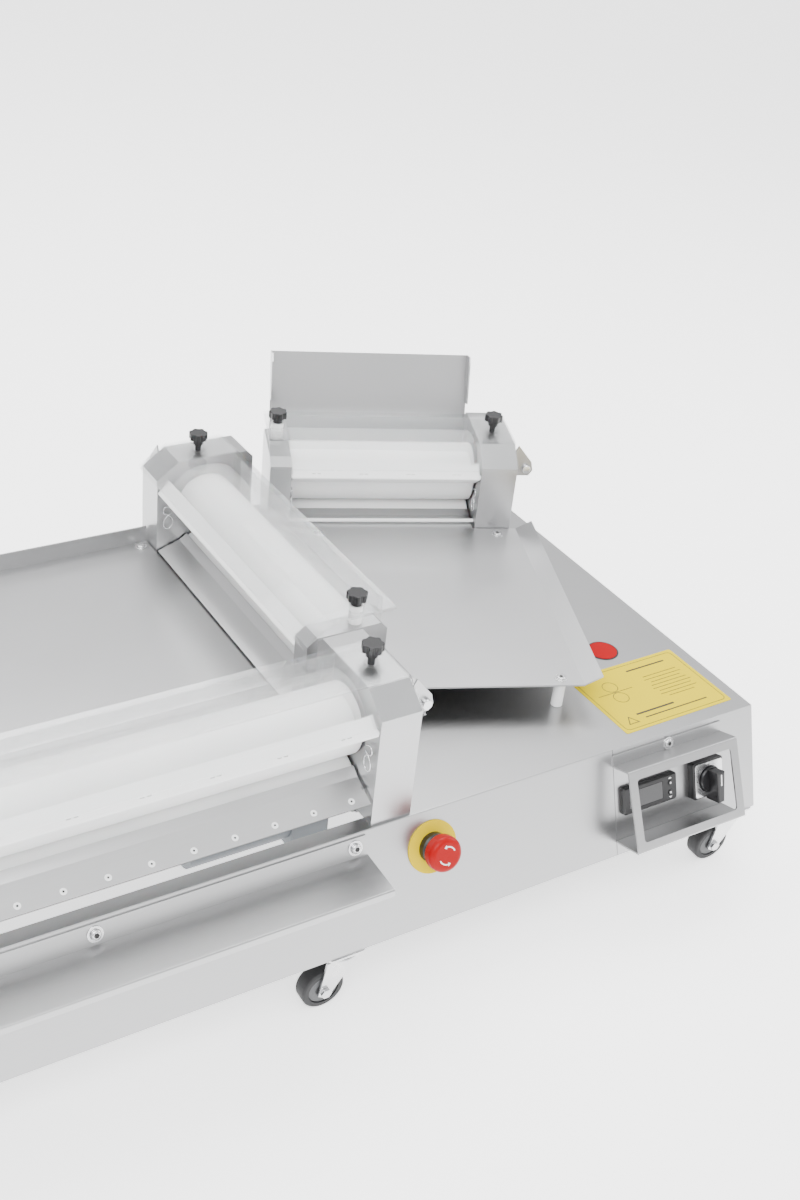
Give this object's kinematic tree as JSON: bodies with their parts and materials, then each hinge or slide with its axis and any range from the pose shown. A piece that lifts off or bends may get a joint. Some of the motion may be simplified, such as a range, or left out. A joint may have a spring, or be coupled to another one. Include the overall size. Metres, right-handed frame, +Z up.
{
  "type": "dough sheeter",
  "caption": "Tabletop-style stainless dough sheeter: three adjustable roller stations on a slanted low cabinet with casters and controls.",
  "frame": {"origin": "floor, under the centre of the bounding box", "axes": "+X towards the right end as seen from the front, +Y towards the back, +Z up"},
  "size_m": [1.198, 0.7604, 0.428],
  "materials": {
    "stainless": "brushed",
    "zinc": "bright",
    "white_plastic": "satin",
    "black_plastic": "satin",
    "clear": "clear",
    "rubber": "satin",
    "yellow": "gloss",
    "red": "gloss",
    "motor": "satin"
  },
  "bodies": {
    "machine": {"base_cabinet": "stainless", "work_table": "stainless", "transfer_plate": "stainless", "white_spacers": "white_plastic", "screws_and_rivets": "zinc", "front_shelf": "stainless", "control_guard": "stainless", "display_module": "black_plastic", "switch_plate": "black_plastic", "stop_disc": "yellow", "stop_collar": "black_plastic", "infeed_chute": "stainless", "drive_units": "motor", "caster_plates": "zinc", "drive_tower_1": "stainless", "idle_tower_1": "stainless", "cover_1": "clear", "scraper_1": "stainless", "outfeed_guard_1": "stainless", "drive_tower_2": "stainless", "idle_tower_2": "stainless", "cover_2": "clear", "scraper_2": "stainless", "outfeed_guard_2": "stainless", "drive_tower_3": "stainless", "idle_tower_3": "stainless", "cover_3": "clear", "scraper_3": "stainless", "outfeed_guard_3": "stainless"},
    "key_up": {"key_up": "black_plastic"},
    "key_down": {"key_down": "black_plastic"},
    "switch_handle": {"switch_handle": "black_plastic"},
    "stop_cap": {"stop_cap": "red"},
    "carriage_1": {"bearing_blocks_1": "white_plastic"},
    "upper_roller_1": {"upper_roller_1": "white_plastic"},
    "lower_roller_1": {"lower_roller_1": "white_plastic"},
    "drive_knob_1": {"drive_knob_1": "black_plastic"},
    "idle_knob_1": {"idle_knob_1": "black_plastic"},
    "carriage_2": {"bearing_blocks_2": "white_plastic"},
    "upper_roller_2": {"upper_roller_2": "white_plastic"},
    "lower_roller_2": {"lower_roller_2": "white_plastic"},
    "drive_knob_2": {"drive_knob_2": "black_plastic"},
    "idle_knob_2": {"idle_knob_2": "black_plastic"},
    "carriage_3": {"bearing_blocks_3": "white_plastic"},
    "upper_roller_3": {"upper_roller_3": "white_plastic"},
    "lower_roller_3": {"lower_roller_3": "white_plastic"},
    "drive_knob_3": {"drive_knob_3": "black_plastic"},
    "idle_knob_3": {"idle_knob_3": "black_plastic"},
    "caster_swivel_1": {"caster_fork_1": "zinc"},
    "caster_wheel_1": {"caster_wheel_1": "rubber"},
    "caster_swivel_2": {"caster_fork_2": "zinc"},
    "caster_wheel_2": {"caster_wheel_2": "rubber"},
    "caster_swivel_3": {"caster_fork_3": "zinc"},
    "caster_wheel_3": {"caster_wheel_3": "rubber"},
    "caster_swivel_4": {"caster_fork_4": "zinc"},
    "caster_wheel_4": {"caster_wheel_4": "rubber"},
    "caster_swivel_5": {"caster_fork_5": "zinc"},
    "caster_wheel_5": {"caster_wheel_5": "rubber"},
    "caster_swivel_6": {"caster_fork_6": "zinc"},
    "caster_wheel_6": {"caster_wheel_6": "rubber"}
  },
  "joints": [
    {"name": "key_up_press", "type": "slide", "parent": "machine", "child": "key_up", "axis": [0, 0.9421, -0.3355], "range_m": [0, 0.0012], "stiffness_N_per_m": 400},
    {"name": "key_down_press", "type": "slide", "parent": "machine", "child": "key_down", "axis": [0, 0.9421, -0.3355], "range_m": [0, 0.0012], "stiffness_N_per_m": 400},
    {"name": "switch_turn", "type": "hinge", "parent": "machine", "child": "switch_handle", "pos_m": [0.518, -0.33669, 0.14069], "axis": [0, -0.9421, 0.3355], "range_deg": [-90, 0]},
    {"name": "stop_press", "type": "slide", "parent": "machine", "child": "stop_cap", "axis": [0, 0.9421, -0.3355], "range_m": [0, 0.005], "stiffness_N_per_m": 1500},
    {"name": "gap_1", "type": "slide", "parent": "machine", "child": "carriage_1", "axis": [0, 0, 1], "range_m": [0, 0.005]},
    {"name": "lower_spin_1", "type": "hinge", "parent": "machine", "child": "lower_roller_1", "pos_m": [0.385, 0.24182, 0.213], "axis": [-0.9281, 0.3723, 0], "continuous": true},
    {"name": "upper_spin_1", "type": "hinge", "parent": "carriage_1", "child": "upper_roller_1", "pos_m": [0.385, 0.24182, 0.292], "axis": [-0.9281, 0.3723, 0], "continuous": true},
    {"name": "drive_knob_turn_1", "type": "hinge", "parent": "machine", "child": "drive_knob_1", "pos_m": [0.52514, 0.18559, 0.362], "axis": [0, 0, -1], "range_deg": [0, 1440]},
    {"name": "idle_knob_turn_1", "type": "hinge", "parent": "machine", "child": "idle_knob_1", "pos_m": [0.25414, 0.29432, 0.362], "axis": [0, 0, -1], "range_deg": [0, 1440]},
    {"name": "gap_2", "type": "slide", "parent": "machine", "child": "carriage_2", "axis": [0, 0, 1], "range_m": [0, 0.005]},
    {"name": "lower_spin_2", "type": "hinge", "parent": "machine", "child": "lower_roller_2", "pos_m": [0.149, 0.09932, 0.191], "axis": [0, 1, 0], "continuous": true},
    {"name": "upper_spin_2", "type": "hinge", "parent": "carriage_2", "child": "upper_roller_2", "pos_m": [0.149, 0.09932, 0.27], "axis": [0, 1, 0], "continuous": true},
    {"name": "drive_knob_turn_2", "type": "hinge", "parent": "machine", "child": "drive_knob_2", "pos_m": [0.149, 0.31282, 0.34], "axis": [0, 0, -1], "range_deg": [0, 1440]},
    {"name": "idle_knob_turn_2", "type": "hinge", "parent": "machine", "child": "idle_knob_2", "pos_m": [0.149, -0.10418, 0.34], "axis": [0, 0, -1], "range_deg": [0, 1440]},
    {"name": "gap_3", "type": "slide", "parent": "machine", "child": "carriage_3", "axis": [0, 0, 1], "range_m": [0, 0.005]},
    {"name": "lower_spin_3", "type": "hinge", "parent": "machine", "child": "lower_roller_3", "pos_m": [-0.218, -0.23318, 0.22], "axis": [-1, 0, 0], "continuous": true},
    {"name": "upper_spin_3", "type": "hinge", "parent": "carriage_3", "child": "upper_roller_3", "pos_m": [-0.218, -0.23318, 0.299], "axis": [-1, 0, 0], "continuous": true},
    {"name": "drive_knob_turn_3", "type": "hinge", "parent": "machine", "child": "drive_knob_3", "pos_m": [0.091, -0.23318, 0.369], "axis": [0, 0, -1], "range_deg": [0, 1440]},
    {"name": "idle_knob_turn_3", "type": "hinge", "parent": "machine", "child": "idle_knob_3", "pos_m": [-0.517, -0.23318, 0.369], "axis": [0, 0, -1], "range_deg": [0, 1440]},
    {"name": "caster_swivel_1", "type": "hinge", "parent": "machine", "child": "caster_swivel_1", "pos_m": [0.573, -0.32734, 0.062], "axis": [0, 0, 1], "continuous": true},
    {"name": "caster_spin_1", "type": "hinge", "parent": "caster_swivel_1", "child": "caster_wheel_1", "pos_m": [0.554, -0.32734, 0.025], "axis": [0, 1, 0], "continuous": true},
    {"name": "caster_swivel_2", "type": "hinge", "parent": "machine", "child": "caster_swivel_2", "pos_m": [0.024, -0.32734, 0.062], "axis": [0, 0, 1], "continuous": true},
    {"name": "caster_spin_2", "type": "hinge", "parent": "caster_swivel_2", "child": "caster_wheel_2", "pos_m": [0.005, -0.32734, 0.025], "axis": [0, 1, 0], "continuous": true},
    {"name": "caster_swivel_3", "type": "hinge", "parent": "machine", "child": "caster_swivel_3", "pos_m": [-0.555, -0.32734, 0.062], "axis": [0, 0, 1], "continuous": true},
    {"name": "caster_spin_3", "type": "hinge", "parent": "caster_swivel_3", "child": "caster_wheel_3", "pos_m": [-0.574, -0.32734, 0.025], "axis": [0, 1, 0], "continuous": true},
    {"name": "caster_swivel_4", "type": "hinge", "parent": "machine", "child": "caster_swivel_4", "pos_m": [0.573, 0.31682, 0.062], "axis": [0, 0, 1], "continuous": true},
    {"name": "caster_spin_4", "type": "hinge", "parent": "caster_swivel_4", "child": "caster_wheel_4", "pos_m": [0.554, 0.31682, 0.025], "axis": [0, 1, 0], "continuous": true},
    {"name": "caster_swivel_5", "type": "hinge", "parent": "machine", "child": "caster_swivel_5", "pos_m": [0.024, 0.31682, 0.062], "axis": [0, 0, 1], "continuous": true},
    {"name": "caster_spin_5", "type": "hinge", "parent": "caster_swivel_5", "child": "caster_wheel_5", "pos_m": [0.005, 0.31682, 0.025], "axis": [0, 1, 0], "continuous": true},
    {"name": "caster_swivel_6", "type": "hinge", "parent": "machine", "child": "caster_swivel_6", "pos_m": [-0.555, 0.31682, 0.062], "axis": [0, 0, 1], "continuous": true},
    {"name": "caster_spin_6", "type": "hinge", "parent": "caster_swivel_6", "child": "caster_wheel_6", "pos_m": [-0.574, 0.31682, 0.025], "axis": [0, 1, 0], "continuous": true}
  ],
  "couplings": [
    {"joint": "upper_spin_1", "follows": "lower_spin_1", "ratio": -1},
    {"joint": "drive_knob_turn_1", "follows": "gap_1", "rad_per_m": 5026.5},
    {"joint": "idle_knob_turn_1", "follows": "gap_1", "rad_per_m": 5026.5},
    {"joint": "upper_spin_2", "follows": "lower_spin_2", "ratio": -1},
    {"joint": "drive_knob_turn_2", "follows": "gap_2", "rad_per_m": 5026.5},
    {"joint": "idle_knob_turn_2", "follows": "gap_2", "rad_per_m": 5026.5},
    {"joint": "upper_spin_3", "follows": "lower_spin_3", "ratio": -1},
    {"joint": "drive_knob_turn_3", "follows": "gap_3", "rad_per_m": 5026.5},
    {"joint": "idle_knob_turn_3", "follows": "gap_3", "rad_per_m": 5026.5}
  ]
}
